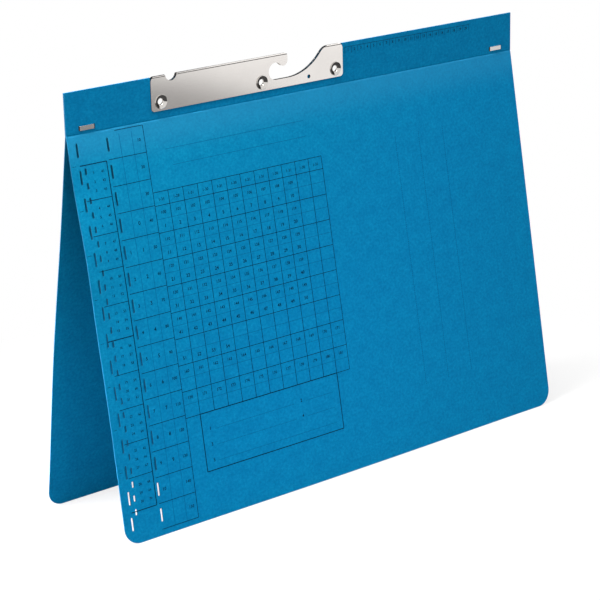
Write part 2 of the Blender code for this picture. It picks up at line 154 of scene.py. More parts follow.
STAPLE_LEG = 4.5 * MM
STAPLE_SLOT = (1.06 * MM, 2.56 * MM)

# Points along curved edges
ARC_STEPS = 10
NOSE_STEPS = 4
THROAT_STEPS = 24
RAMP_STEPS = 16
CORNER_STEPS = 12
SLIT_STEPS = 8
RIVET_HOLE_STEPS = 28
PILOT_STEPS = 20
FLARE_STEPS = 14
CURL_STEPS = 6

# Meshes
STRIP_NET = 5 * MM  # between the net's points in the strip
SHEET_NET = 6 * MM  # between them elsewhere, and along edges and printed lines
NET_CLEAR = 0.35 * MM  # from the net to edges and holes
RIM_SLACK = 0.01 * MM
MERGE = 1e-7
SHARP_CARD = math.radians(40)
SHARP_RIVET = math.radians(50)

# Print
INK_TOP = 0.022 * MM
INK_FOOT = 0.006 * MM
GLYPH_DEPTH = 0.01 * MM  # tells a number's top from its foot
GLYPH_SWELL = 0.022  # of a number's size, which makes its strokes heavier
GLYPH_MIDDLE = 0.35  # of a number's size, from its foot
GLYPH_STEPS = 2


def arc(centre, radius, start, end, steps=ARC_STEPS):
    """Points of a circle from one angle to another in degrees, both ends included."""
    turns = [math.radians(start + (end - start) * n / steps) for n in range(steps + 1)]
    return [(centre[0] + radius * math.cos(t), centre[1] + radius * math.sin(t)) for t in turns]


def smooth(value):
    """A smooth step from 0 to 1."""
    value = min(max(value, 0), 1)
    return value * value * (3 - 2 * value)


# Where the covers' sheets lie


def front_bow(x, s):
    """How far the front cover stands out of its plane."""
    down = min(max(-s / PANEL_LENGTH, 0), 1)
    across = (x - LEFT) / WIDTH
    height = FRONT_BOW_LEFT + (FRONT_BOW_RIGHT - FRONT_BOW_LEFT) * across
    bow = height * math.sin(math.pi * down)
    wave = WAVE_HEIGHT * math.sin(math.tau * (-s - WAVE_START) / WAVE_LENGTH)
    fade = smooth(down / WAVE_EASE) * smooth((WAVE_END + s) / (WAVE_END - WAVE_START))
    wave *= fade * smooth((LEFT + WAVE_REACH - x) / WAVE_REACH)
    left = smooth((across - BULGE_LEFT[0]) / BULGE_LEFT[1])
    right = smooth((BULGE_RIGHT[0] - across) / BULGE_RIGHT[1])
    bulge = BULGE * smooth((down - BULGE_START) / (1 - BULGE_START)) * left * right
    corner = smooth((CURL_END - across) / CURL_END)
    curl = CURL * smooth((down - CURL_START) / (1 - CURL_START)) * corner
    return bow + wave + bulge - curl


def back_bow(s):
    """How far the back cover stands out of its plane, below the fastener."""
    down = min(max(-s / PANEL_LENGTH, 0), 1)
    share = max(down - BACK_BOW_START, 0) / (1 - BACK_BOW_START)
    return BACK_BOW * math.sin(math.pi * share) ** 2


def flare(x, s):
    """How far the card stands out below the hanger."""
    left = smooth((x - HANGER_LEFT) / FLARE_FADE)
    right = smooth((HANGER_LEFT + HANGER_LENGTH - x) / FLARE_FADE)
    pinch = HANGER_TOP - HANGER_HEIGHT
    if s > 0:
        share = max(1 - s / pinch, 0)
    else:
        share = math.cos(math.pi / 2 * min(-s / PANEL_LENGTH, 1))
    return FLARE * left * right * share


def groove(s):
    """Depth of the scored groove along the crease."""
    reach = GROOVE_TOP if s > 0 else GROOVE_FOOT
    return GROOVE_DEPTH * (1 - smooth(abs(s) / reach))


def cover_point(side, x, s, depth=0.0):
    """A point of a cover: s is up from the crease along the sheet, depth is in from its outer face."""
    turn = SPREAD * min(max((CREASE_HALF - s) / (2 * CREASE_HALF), 0), 1)
    radius = 2 * CREASE_HALF / SPREAD
    if s >= CREASE_HALF:
        out = 0
        rise = s
    elif s >= -CREASE_HALF:
        out = radius * (1 - math.cos(turn))
        rise = CREASE_HALF - radius * math.sin(turn)
    else:
        out = -s * math.sin(SPREAD)
        rise = s * math.cos(SPREAD)
    bow = front_bow(x, s) if side < 0 else back_bow(s)
    lift = bow + flare(x, s) - groove(s) - depth
    out += OUTER_FACE + lift * math.cos(turn)
    return Vector((x, side * out, CREASE_HEIGHT + rise + lift * math.sin(turn)))


# Outlines in the sheets' own plane


def hook_edge():
    """The edge of the card behind the hanger's notch and hook, from left to right."""
    setback = CARD_SETBACK
    notch_centre = (NOTCH_PLACE, NOTCH_RADIUS - NOTCH_DEPTH)
    notch_radius = NOTCH_RADIUS + setback
    notch_angle = math.degrees(math.asin((notch_centre[1] + setback) / notch_radius))
    notch = arc(notch_centre, notch_radius, 180 + notch_angle, 360 - notch_angle)
    corner = max(NOSE_CORNER - setback, LAYER_GAP)
    nose_end = THROAT_PLACE + NOSE_REACH
    nose = arc((nose_end - setback - corner, -setback - corner), corner, 90, 0, NOSE_STEPS)
    drop = THROAT_DEPTH - NOSE_DEPTH
    half = NOSE_REACH - drop + THROAT_RADIUS
    barb_radius = half - math.sqrt(half**2 - NOSE_REACH**2 - drop**2 + THROAT_RADIUS**2)
    barb_centre = (nose_end - barb_radius, barb_radius - NOSE_DEPTH)
    throat_centre = (THROAT_PLACE, -THROAT_DEPTH)
    meeting = math.degrees(
        math.atan2(barb_centre[1] - throat_centre[1], barb_centre[0] - throat_centre[0])
    )
    barb = arc(barb_centre, barb_radius - setback, 0, meeting - 180)
    throat = arc(throat_centre, THROAT_RADIUS + setback, meeting, 270, THROAT_STEPS)
    floor = THROAT_DEPTH + THROAT_RADIUS
    slope = math.acos(1 - floor / (RAMP_RADIUS + LOBE_RADIUS))
    steep = math.degrees(slope)
    run = (RAMP_RADIUS + LOBE_RADIUS) * math.sin(slope)
    ramp_centre = (RAMP_START, RAMP_RADIUS - floor)
    rise = arc(ramp_centre, RAMP_RADIUS + setback, 270, 270 + steep, RAMP_STEPS)
    lobe = arc((RAMP_START + run, -LOBE_RADIUS), LOBE_RADIUS - setback, 90 + steep, 90)
    return notch + nose + barb + throat[1:] + rise + lobe[1:]


def cover_outline():
    """A whole cover laid flat: its strip above the crease and its panel below."""
    step = HANGER_TOP_RADIUS - math.sqrt(CARD_SETBACK * (2 * HANGER_TOP_RADIUS - CARD_SETBACK))
    left = HANGER_LEFT + step
    right = HANGER_LEFT + HANGER_LENGTH - step
    tuck = HANGER_TOP - CARD_SETBACK
    hook = [(HANGER_LEFT + x, HANGER_TOP + z) for x, z in hook_edge()]
    x = WIDTH / 2 - CORNER_RADIUS
    s = CORNER_RADIUS - PANEL_LENGTH
    right_side = [(WIDTH / 2, row) for row in CREASE_ROWS]
    left_side = [(LEFT, row) for row in CREASE_ROWS[::-1]]
    return [
        (LEFT, STRIP_HEIGHT),
        (left, STRIP_HEIGHT),
        (left, tuck),
        *hook,
        (right, tuck),
        (right, STRIP_HEIGHT),
        (WIDTH / 2, STRIP_HEIGHT),
        *right_side,
        *arc((x, s), CORNER_RADIUS, 0, -90, CORNER_STEPS),
        *arc((-x, s), CORNER_RADIUS, 270, 180, CORNER_STEPS),
        *left_side,
    ]


def spread_out(loop, step):
    """A closed loop with points added so that no run is longer than a step."""
    points = []
    for a, b in zip(loop, loop[1:] + loop[:1]):
        parts = max(1, math.ceil(math.dist(a, b) / step))
        run = b[0] - a[0]
        rise = b[1] - a[1]
        points += [(a[0] + run * n / parts, a[1] + rise * n / parts) for n in range(parts)]
    return points


def slit(x, s, length):
    """A slit with round ends that runs down the cover."""
    reach = (length - SLIT_WIDTH) / 2
    upper = arc((x, s + reach), SLIT_WIDTH / 2, 0, 180, SLIT_STEPS)
    return upper + arc((x, s - reach), SLIT_WIDTH / 2, 180, 360, SLIT_STEPS)


def tab_slits():
    """The three columns of slits in the front cover."""
    holes = []
    for row in range(LONG_COUNT):
        s = -LONG_DROP - LONG_PITCH * row
        holes += [slit(LEFT + x, s, LONG_SLIT) for x in (OUTER_COLUMN, INNER_COLUMN)]
    for row in range(SHORT_COUNT):
        holes.append(slit(LEFT + SHORT_COLUMN, -SHORT_DROP - SHORT_PITCH * row, SHORT_SLIT))
    return holes


def round_hole(x, s, radius, steps):
    """A round hole behind the hanger."""
    return arc((x, s), radius, 0, 360, steps)[:-1]


def strip_holes():
    """Holes for the rivets and slots for the staples' legs."""
    s = HANGER_TOP - RIVET_DEPTH
    places = RIVET_PLACES.values()
    holes = [round_hole(HANGER_LEFT + x, s, RIVET_HOLE, RIVET_HOLE_STEPS) for x in places]
    half_width, half_height = (size / 2 for size in STAPLE_SLOT)
    corners = ((-1, -1), (1, -1), (1, 1), (-1, 1))
    for middle in (-STAPLE_PLACE, STAPLE_PLACE):
        for x in (middle - STAPLE_LEG, middle + STAPLE_LEG):
            holes.append([(x + a * half_width, STAPLE_RISE + b * half_height) for a, b in corners])
    return holes


# Sheets of card


def inside(point, loop):
    """Whether a point lies in a closed loop."""
    x, y = point
    found = False
    for (ax, ay), (bx, by) in zip(loop, loop[1:] + loop[:1]):
        if (ay > y) != (by > y) and x < (bx - ax) * (y - ay) / (by - ay) + ax:
            found = not found
    return found


def box_of(loop):
    """Lowest and highest corner of a loop."""
    xs = [p[0] for p in loop]
    ys = [p[1] for p in loop]
    return min(xs), min(ys), max(xs), max(ys)


def triangles(outline, holes, rows, columns, clear, whole_rows):
    """Points and triangles of a flat sheet with holes and a net of points; whole rows stay unbroken."""
    boxes = [box_of(hole) for hole in holes]
    lines = {y: [] for y in whole_rows}

    def in_hole(x, y, margin):
        near = [
            hole
            for hole, (x0, y0, x1, y1) in zip(holes, boxes)
            if x0 - margin < x < x1 + margin and y0 - margin < y < y1 + margin
        ]
        return bool(near) if margin else any(inside((x, y), hole) for hole in near)

    points = []
    edges = []
    for loop in (outline, *holes):
        first = len(points)
        points += [Vector(p) for p in loop]
        edges += [(first + n, first + (n + 1) % len(loop)) for n in range(len(loop))]
    for n, (x, y) in enumerate(outline):
        if y in lines:
            lines[y].append((x, n))
    for y in rows:
        for x in columns:
            around = [(x - clear, y), (x + clear, y), (x, y - clear), (x, y + clear)]
            if all(inside(p, outline) for p in around) and not in_hole(x, y, clear):
                if y in lines:
                    lines[y].append((x, len(points)))
                points.append(Vector((x, y)))
    for line in lines.values():
        line.sort()
        edges += [(a, b) for (_, a), (_, b) in zip(line, line[1:])]
    flat, _, faces, *_ = delaunay_2d_cdt(points, edges, [], 0, MERGE)
    kept = []
    for face in faces:
        x = sum(flat[i].x for i in face) / len(face)
        y = sum(flat[i].y for i in face) / len(face)
        if inside((x, y), outline) and not in_hole(x, y, 0):
            kept.append(tuple(face))
    return flat, kept


def net_lines(low, high, step):
    """Even lines between two ends, neither of them included."""
    count = max(2, round((high - low) / step))
    return [low + (high - low) * n / count for n in range(1, count)]


def add_object(name, mesh, materials):
    """A named object of a finished mesh."""
    for material in materials:
        mesh.materials.append(material)
    made = bpy.data.objects.new(name, mesh)
    bpy.context.scene.collection.objects.link(made)
    return made


def mesh_of(name, shape, sharp=None):
    """A finished mesh of a shape, smooth up to an angle if one is given."""
    mesh = bpy.data.meshes.new(name)
    shape.to_mesh(mesh)
    shape.free()
    if sharp:
        mesh.shade_smooth()
        mesh.set_sharp_from_angle(angle=sharp)
    return mesh


def make_cover(name, side, holes, materials):
    """One sheet of card, creased, with its real thickness."""
    rows = CREASE_ROWS + net_lines(CREASE_ROWS[0], STRIP_HEIGHT, STRIP_NET)
    rows += net_lines(-PANEL_LENGTH, CREASE_ROWS[-1], SHEET_NET)
    columns = net_lines(LEFT, WIDTH / 2, SHEET_NET)
    fold_rows = [s for s in CREASE_ROWS if s < FOLD_TOP]
    outline = spread_out(cover_outline(), SHEET_NET)
    flat, faces = triangles(outline, holes, rows, columns, NET_CLEAR, fold_rows)
    shape = bmesh.new()
    sheet = shape.loops.layers.uv.new("sheet")
    outer = [shape.verts.new(cover_point(side, p.x, p.y)) for p in flat]
    inner = [shape.verts.new(cover_point(side, p.x, p.y, CARD)) for p in flat]
    place = dict(zip(outer + inner, [*flat, *flat]))
    boxes = [box_of(hole) for hole in holes]

    def shaded(point):
        """Whether a point of a rim lies behind the hanger or in a hole, where the rim gets a painted
        shade.
        """
        x, y = point
        behind = HANGER_LEFT < x < HANGER_LEFT + HANGER_LENGTH and y > HANGER_TOP - HANGER_HEIGHT
        in_hole = any(
            x0 - RIM_SLACK < x < x1 + RIM_SLACK and y0 - RIM_SLACK < y < y1 + RIM_SLACK
            for x0, y0, x1, y1 in boxes
        )
        return behind or in_hole

    sides = [pair for face in faces for pair in zip(face, face[1:] + face[:1])]
    known = set(sides)
    for face in faces:
        shape.faces.new([outer[i] for i in face])
        shape.faces.new([inner[i] for i in face[::-1]])
    for a, b in sides:
        if (b, a) not in known:
            rim = shape.faces.new([outer[b], outer[a], inner[a], inner[b]])
            # rims behind the hanger and in holes take the edge with a painted shade
            rim.material_index = 2 if shaded(flat[a]) and shaded(flat[b]) else 1
    loose = [v for v in shape.verts if not v.link_faces]
    bmesh.ops.delete(shape, geom=loose, context="VERTS")
    bmesh.ops.recalc_face_normals(shape, faces=shape.faces)
    for face in shape.faces:
        for loop in face.loops:
            loop[sheet].uv = place[loop.vert]
    mesh = mesh_of(name, shape, SHARP_CARD)
    return add_object(name, mesh, materials)


# Print on the front cover


class Print:
    """Thin ink on the front cover, gathered into one mesh."""

    def __init__(self):
        self.shape = bmesh.new()

    def bar(self, x0, s0, x1, s1):
        """A filled bar between two corners, in mm from the left edge and below the crease."""
        x0, x1 = sorted((LEFT + x0 * MM, LEFT + x1 * MM))
        s0, s1 = sorted((-s0 * MM, -s1 * MM))
        upright = s1 - s0 > x1 - x0
        parts = max(1, math.ceil(max(s1 - s0, x1 - x0) / SHEET_NET))
        rings = []
        for n in range(parts + 1):
            share = n / parts
            if upright:
                s = s0 + (s1 - s0) * share
                corners = ((x0, s), (x1, s))
            else:
                x = x0 + (x1 - x0) * share
                corners = ((x, s1), (x, s0))
            (ax, a), (bx, b) = corners
            places = ((ax, a, INK_TOP), (bx, b, INK_TOP), (bx, b, INK_FOOT), (ax, a, INK_FOOT))
            rings.append([self.shape.verts.new(cover_point(-1, x, s, -lift)) for x, s, lift in places])
        for a, b in zip(rings, rings[1:]):
            for n in range(4):
                self.shape.faces.new((a[n], a[(n + 1) % 4], b[(n + 1) % 4], b[n]))
        self.shape.faces.new(rings[0][::-1])
        self.shape.faces.new(rings[-1])

    def across(self, x0, x1, drop, weight):
        """A line across the cover."""
        self.bar(x0, drop - weight / 2, x1, drop + weight / 2)

    def down(self, x, drop0, drop1, weight):
        """A line down the cover."""
        self.bar(x - weight / 2, drop0, x + weight / 2, drop1)

    def dots_across(self, x0, x1, drop, pitch, length, weight):
        """A dotted line across the cover."""
        for n in range(int((x1 - x0) / pitch)):
            x = x0 + pitch * n
            self.bar(x, drop - weight / 2, x + length, drop + weight / 2)

    def dots_down(self, x, drop0, drop1, pitch, length, weight):
        """A dotted line down the cover."""
        for n in range(int((drop1 - drop0) / pitch)):
            drop = drop0 + pitch * n
            self.bar(x - weight / 2, drop, x + weight / 2, drop + length)

    def number(self, text, x, drop, size):
        """A plain number around a place."""
        points, faces = number_mesh(text, size)
        made = []
        for p in points:
            lift = INK_TOP if p.z > 0 else INK_FOOT
            place = cover_point(-1, LEFT + x * MM + p.x, -drop * MM + p.y, -lift)
            made.append(self.shape.verts.new(place))
        for face in faces:
            self.shape.faces.new([made[i] for i in face])

    def finish(self, name, material, body="front_cover"):
        """The gathered ink as one piece."""
        bmesh.ops.recalc_face_normals(self.shape, faces=self.shape.faces)
        made = add_object(name, mesh_of(name, self.shape), [material])
        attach(made, body)


number_shapes = {}


def number_mesh(text, size):
    """Points and faces of a number in the built-in typeface, centred on its own origin."""
    if (text, size) not in number_shapes:
        curve = bpy.data.curves.new("number", "FONT")
        curve.body = text
        curve.size = size * MM
        curve.align_x = "CENTER"
        curve.resolution_u = GLYPH_STEPS
        curve.extrude = GLYPH_DEPTH
        curve.offset = GLYPH_SWELL * size * MM
        holder = bpy.data.objects.new("number", curve)
        bpy.context.scene.collection.objects.link(holder)
        bpy.context.view_layer.update()
        graph = bpy.context.evaluated_depsgraph_get()
        mesh = bpy.data.meshes.new_from_object(holder.evaluated_get(graph))
        middle = GLYPH_MIDDLE * size * MM
        shape = bmesh.new()
        shape.from_mesh(mesh)
        bmesh.ops.remove_doubles(shape, verts=shape.verts, dist=MERGE)
        shape.verts.index_update()
        points = [Vector((v.co.x, v.co.y - middle, v.co.z)) for v in shape.verts]
        faces = [[v.index for v in f.verts] for f in shape.faces]
        shape.free()
        bpy.data.objects.remove(holder)
        bpy.data.curves.remove(curve)
        bpy.data.meshes.remove(mesh)
        number_shapes[(text, size)] = (points, faces)
    return number_shapes[(text, size)]


# Materials: noise as scale, detail and roughness; ranges as from, to, and what comes out at each end

CARD_BLUE = (0.0013, 0.2, 0.435)
CARD_PALE = (0.004, 0.228, 0.475)
CARD_DARKEN = 0.86
FIBRE_PALE = (0.008, 0.26, 0.52)
FIBRE_DARK = (0.001, 0.15, 0.34)
HOLDER_SHADE = 0.92
CARD_CLOUD = (130, 3, 0.55)
CARD_GRAIN = (620, 4, 0.6)
FIBRE = (1, 2, 0.5)
FIBRE_SCALE = (420, 1900, 1)
FIBRE_TURN = 0.5
CROSS_SCALE = (1700, 380, 1)
CROSS_TURN = 0.9
EDGE_FUZZ = (1800, 3, 0.6)
EDGE_ROUGH = 0.9
INK_SPREAD = (900, 3, 0.6)
INK_ROUGH = 0.7
PAPER_GLOSS = 0.04
CARD_BUMP = (0.35, 0.06 * MM)  # strength and height
METAL_BUMP = (0.04, 0.005 * MM)
METAL_GRAIN = (1, 4, 0.6)
METAL_STAIN = (60, 3, 0.5)
METAL_DARKEN = 0.975
ROUGH_SWING = 0.07  # of a metal's roughness, along its grain
CUT_EDGE = (0.3, 0.7)  # how far a face has to turn to X to count as cut

# Painted light on the card, by height over the crease: a lighter band below it and a painted highlight
# along it
CREASE_START = (0.1 * MM, -0.3 * MM)
PAINTED_LIGHT_BAND = (-22 * MM, -2 * MM, 0.0, 0.36)
PAINTED_HIGHLIGHT_LINE = (-1.6 * MM, -0.5 * MM)
HIGHLIGHT_PATCHES = (0.3, 0.6, 0.08, 0.3)
PAINTED_LIGHT_CARD = (0.03, 0.29, 0.54)
# A painted tint of light: the card a little lighter and greener towards its upper left, where the light
# falls
LIGHT_TINT_REACH = (-0.3, 0.2)
LIGHT_TINT = (1.2, 1.06, 0.95)


def grey(tone):
    """A grey colour."""
    return (tone, tone, tone)


def shader_of(name):
    """A new material and its tree and shader."""
    material = bpy.data.materials.new(name)
    material.use_nodes = True
    tree = material.node_tree
    return material, tree, tree.nodes["Principled BSDF"]


def node(tree, kind, **sockets):
    """A node with some of its input sockets set."""
    made = tree.nodes.new(kind)
    for key, value in sockets.items():
        made.inputs[key.replace("_", " ")].default_value = value
    return made


def noise(tree, vector, scale, detail, roughness):
    """A noise texture on a vector."""
    made = node(tree, "ShaderNodeTexNoise", Scale=scale, Detail=detail, Roughness=roughness)
    tree.links.new(vector, made.inputs["Vector"])
    return made.outputs["Fac"]


def ramp(tree, value, stops):
    """A colour ramp through stops of (place, colour)."""
    made = tree.nodes.new("ShaderNodeValToRGB")
    tree.links.new(value, made.inputs["Fac"])
    for n, (place, colour) in enumerate(stops):
        while len(made.color_ramp.elements) <= n:
            made.color_ramp.elements.new(place)
        made.color_ramp.elements[n].position = place
        made.color_ramp.elements[n].color = (*colour, 1)
    return made.outputs["Color"]


def mapped(tree, vector, scale, turn=0.0):
    """A vector turned about Z and scaled."""
    made = tree.nodes.new("ShaderNodeMapping")
    made.inputs["Rotation"].default_value = (0, 0, turn)
    made.inputs["Scale"].default_value = scale
    tree.links.new(vector, made.inputs["Vector"])
    return made.outputs["Vector"]


def mixed(tree, blend, factor, first, second):
    """Two colours mixed; the factor may be a number or a socket."""
    made = tree.nodes.new("ShaderNodeMix")
    made.data_type = "RGBA"
    made.blend_type = blend
    for key, value in ((0, factor), (6, first), (7, second)):
        if isinstance(value, bpy.types.NodeSocket):
            tree.links.new(value, made.inputs[key])
        elif key:
            made.inputs[key].default_value = (*value, 1)
        else:
            made.inputs[key].default_value = value
    return made.outputs[2]


def ranged(tree, value, low, high, start=0.0, end=1.0):
    """A value carried smoothly from one range to another."""
    made = tree.nodes.new("ShaderNodeMapRange")
    made.interpolation_type = "SMOOTHSTEP"
    for key, number in zip(("From Min", "From Max", "To Min", "To Max"), (low, high, start, end)):
        made.inputs[key].default_value = number
    tree.links.new(value, made.inputs["Value"])
    return made.outputs[0]


def product(tree, first, second):
    """Two values multiplied."""
    made = tree.nodes.new("ShaderNodeMath")
    made.operation = "MULTIPLY"
    tree.links.new(first, made.inputs[0])
    tree.links.new(second, made.inputs[1])
    return made.outputs[0]


def roughen(tree, shader, grain, strength, height):
    """Fine bumps on a surface."""
    bump = node(tree, "ShaderNodeBump", Strength=strength, Distance=height)
    tree.links.new(grain, bump.inputs["Height"])
    tree.links.new(bump.outputs["Normal"], shader.inputs["Normal"])


def worn(tree, at, cloud, colour):
    """Card with a painted tint of light, a little green towards its upper left, and a painted highlight
    along its crease with a lighter band of painted light below it.
    """
    corner = tree.nodes.new("ShaderNodeVectorMath")
    corner.operation = "DOT_PRODUCT"
    corner.inputs[1].default_value = (-0.5 / WIDTH, 0.5 / PANEL_LENGTH, 0)
    tree.links.new(at, corner.inputs[0])
    split = tree.nodes.new("ShaderNodeSeparateXYZ")
    tree.links.new(at, split.inputs[0])
    height = split.outputs["Y"]
    below = ranged(tree, height, *CREASE_START)
    # painted tint of the light from the upper left
    lit_side = ranged(tree, corner.outputs["Value"], *LIGHT_TINT_REACH)
    tint = ramp(tree, lit_side, [(0, grey(1)), (1, LIGHT_TINT)])
    colour = mixed(tree, "MULTIPLY", below, colour, tint)
    # a lighter band of painted light below the crease
    band = ranged(tree, height, *PAINTED_LIGHT_BAND)
    colour = mixed(tree, "MIX", product(tree, below, band), colour, PAINTED_LIGHT_CARD)
    # a painted highlight along the crease, in patches
    line = product(tree, below, ranged(tree, height, *PAINTED_HIGHLIGHT_LINE))
    highlight = product(tree, line, ranged(tree, cloud, *HIGHLIGHT_PATCHES))
    return mixed(tree, "MIX", highlight, colour, PAINTED_LIGHT_CARD)


def card_material(name, shade, flat=True):
    """Dyed card with mottled pulp and short fibres, laid out flat or by its place in space."""
    material, tree, shader = shader_of(name)
    if flat:
        place = tree.nodes.new("ShaderNodeUVMap")
        place.uv_map = "sheet"
        at = place.outputs["UV"]
    else:
        at = tree.nodes.new("ShaderNodeTexCoord").outputs["Object"]
    cloud = noise(tree, at, *CARD_CLOUD)
    grain = noise(tree, at, *CARD_GRAIN)
    fibres = noise(tree, mapped(tree, at, FIBRE_SCALE, FIBRE_TURN), *FIBRE)
    cross = noise(tree, mapped(tree, at, CROSS_SCALE, CROSS_TURN), *FIBRE)
    base = tuple(c * shade for c in CARD_BLUE)
    dark = tuple(c * CARD_DARKEN for c in base)
    pale = tuple(c * shade for c in CARD_PALE)
    pulp = ramp(tree, grain, [(0.34, dark), (0.5, base), (0.68, pale)])
    light_fibre = ramp(tree, fibres, [(0.58, grey(0)), (0.72, grey(0.5))])
    dark_fibre = ramp(tree, cross, [(0.6, grey(0)), (0.74, grey(0.45))])
    colour = mixed(tree, "MIX", light_fibre, pulp, FIBRE_PALE)
    colour = mixed(tree, "MIX", dark_fibre, colour, FIBRE_DARK)
    shades = ramp(tree, cloud, [(0.3, (0.89, 0.91, 0.93)), (0.7, (1.09, 1.07, 1.04))])
    colour = mixed(tree, "MULTIPLY", 1.0, colour, shades)
    if flat:
        # the flat card gets painted light: a tint towards its upper left, and a band and a highlight
        # along its crease
        colour = worn(tree, at, cloud, colour)
    tree.links.new(colour, shader.inputs["Base Color"])
    rough = ramp(tree, grain, [(0.3, grey(0.7)), (0.7, grey(0.86))])
    tree.links.new(rough, shader.inputs["Roughness"])
    shader.inputs["Specular IOR Level"].default_value = PAPER_GLOSS
    roughen(tree, shader, grain, *CARD_BUMP)
    return material


def edge_material(name, core, fluff):
    """A cut edge of the card, rougher than its face."""
    material, tree, shader = shader_of(name)
    at = tree.nodes.new("ShaderNodeTexCoord").outputs["Object"]
    fuzz = noise(tree, at, *EDGE_FUZZ)
    colour = ramp(tree, fuzz, [(0.35, core), (0.65, fluff)])
    tree.links.new(colour, shader.inputs["Base Color"])
    shader.inputs["Roughness"].default_value = EDGE_ROUGH
    return material


def ink_material(name, ink, faded):
    """Printing ink that lies unevenly on the card."""
    material, tree, shader = shader_of(name)
    at = tree.nodes.new("ShaderNodeTexCoord").outputs["Object"]
    spread = noise(tree, at, *INK_SPREAD)
    colour = ramp(tree, spread, [(0.4, ink), (0.75, faded)])
    tree.links.new(colour, shader.inputs["Base Color"])
    shader.inputs["Roughness"].default_value = INK_ROUGH
    shader.inputs["Specular IOR Level"].default_value = PAPER_GLOSS
    return material


def metal_material(name, colour, rough, along, cut=None):
    """Rolled and plated steel with a fine grain along one axis; cut edges, the faces that turn to X, may
    have their own dark colour: bare steel with a painted shade and reflection.
    """
    material, tree, shader = shader_of(name)
    at = tree.nodes.new("ShaderNodeTexCoord").outputs["Object"]
    grain = noise(tree, mapped(tree, at, along), *METAL_GRAIN)
    stain = noise(tree, at, *METAL_STAIN)
    deep = tuple(c * METAL_DARKEN for c in colour)
    tone = ramp(tree, grain, [(0.35, deep), (0.65, colour)])
    wash = ramp(tree, stain, [(0.35, grey(0.97)), (0.65, grey(1))])
    tone = mixed(tree, "MULTIPLY", 1.0, tone, wash)
    # faces that turn to X take the cut colour: bare steel, darkened with a painted shade and reflection
    if cut:
        sides = tree.nodes.new("ShaderNodeSeparateXYZ")
        tree.links.new(tree.nodes.new("ShaderNodeTexCoord").outputs["Normal"], sides.inputs[0])
        facing = tree.nodes.new("ShaderNodeMath")
        facing.operation = "ABSOLUTE"
        tree.links.new(sides.outputs["X"], facing.inputs[0])
        tone = mixed(tree, "MIX", ranged(tree, facing.outputs[0], *CUT_EDGE), tone, cut)
    tree.links.new(tone, shader.inputs["Base Color"])
    smoother = grey(rough * (1 - ROUGH_SWING))
    rougher = grey(rough * (1 + ROUGH_SWING))
    roughness = ramp(tree, grain, [(0.35, smoother), (0.65, rougher)])
    tree.links.new(roughness, shader.inputs["Roughness"])
    shader.inputs["Metallic"].default_value = 1
    roughen(tree, shader, grain, *METAL_BUMP)
    return material


card = card_material("dyed_card", 1.0)
holder_card = card_material("holder_card", HOLDER_SHADE, flat=False)
card_edge = edge_material("card_edge", (0.003, 0.13, 0.28), (0.012, 0.2, 0.4))
# The rims behind the hanger and in the holes get this edge: a painted shade, much darker than the card
# edge
painted_shade_edge = edge_material("card_edge_painted_shade", (0.002, 0.026, 0.055), (0.003, 0.045, 0.095))
ink = ink_material("print_ink", (0.002, 0.018, 0.045), (0.002, 0.05, 0.11))
faint_ink = ink_material("print_ink_faint", (0.001, 0.085, 0.19), (0.001, 0.12, 0.27))
plate_grain = (300, 6000, 6000)
rivet_grain = (900, 900, 900)
wire_grain = (60, 3000, 3000)
strip_grain = (80, 2000, 2000)
lock_grain = (2000, 300, 300)
# Colours of cut edges: bare steel, darkened with a painted shade and a painted reflection
plate_cut_shade = (0.12, 0.11, 0.1)
wire_cut_shade = (0.07, 0.065, 0.06)
nickel = metal_material("satin_nickel", (0.79, 0.755, 0.725), 0.13, plate_grain, plate_cut_shade)
bright_nickel = metal_material("bright_nickel", (0.7, 0.67, 0.64), 0.1, rivet_grain)
wire = metal_material("staple_steel", (0.6, 0.59, 0.58), 0.15, wire_grain, wire_cut_shade)
tin = metal_material("tinned_steel", (0.6, 0.6, 0.6), 0.33, strip_grain)
soft_steel = metal_material("soft_steel", (0.74, 0.73, 0.71), 0.26, strip_grain)
lock_steel = metal_material("lock_steel", (0.42, 0.42, 0.43), 0.24, lock_grain)

# Covers

pilot_x = HANGER_LEFT + PILOT_PLACE[0]
pilot_well = round_hole(pilot_x, HANGER_TOP - PILOT_PLACE[1], PILOT_RADIUS, PILOT_STEPS)
front_holes = [*strip_holes(), *tab_slits(), pilot_well]
card_faces = [card, card_edge, painted_shade_edge]
front_cover = make_cover("front_cover_sheet", -1, front_holes, card_faces)
back_cover = make_cover("back_cover_sheet", 1, strip_holes(), card_faces)
for cover, side, name in ((front_cover, -1, "front_cover"), (back_cover, 1, "back_cover")):
    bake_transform(cover)
    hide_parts(name + "_panel", name + "_strip")

# Index table and side block, in mm from the left edge and below the crease

THIN = 0.35
FINE = 0.22
THICK = 0.55
TABLE_LEFT = 23.4
TABLE_COLUMNS = (31.9, 39.75)
TABLE_RIGHT = 47.3
TABLE_HEAD_LEFT = 29.5  # where its top line starts
TABLE_TOP = 1.4
TABLE_FIRST = 15.6
TABLE_PITCH = 14.08
TABLE_ROWS = 15
COLUMN_START = 2  # of its column lines, below its top
TENS = (43.7, 2.3)  # a column of numbers: place across and size
UNITS = (36, 2.9)
UNIT_ROWS = range(3, 13)
COUNTS = (28, 2.5)
COUNT_ROWS = range(4, 14)
BLOCK_LEFT = 5.6
BLOCK_RIGHT = 21.9
BLOCK_TOP = 15.9
BLOCK_PITCH = 18.29
BLOCK_ROWS = 10
BLOCK_INSET = 1  # of its thin lines
BLOCK_LINES = 3  # of numbers in each row
BLOCK_LINE = 4.6
BLOCK_NUMBERS = {13.2: 0, 18.8: 40}  # place across of each column, and what is added to its count
BLOCK_NUMBER_SIZE = 1.9
MARK_LEFT = 1.2
MARK_RIGHT = 3.4
MARK_TOP = 15.7
MARK_PITCH = 22.95
MARK_COUNT = 8

rules = Print()
faint = Print()
numbers = Print()

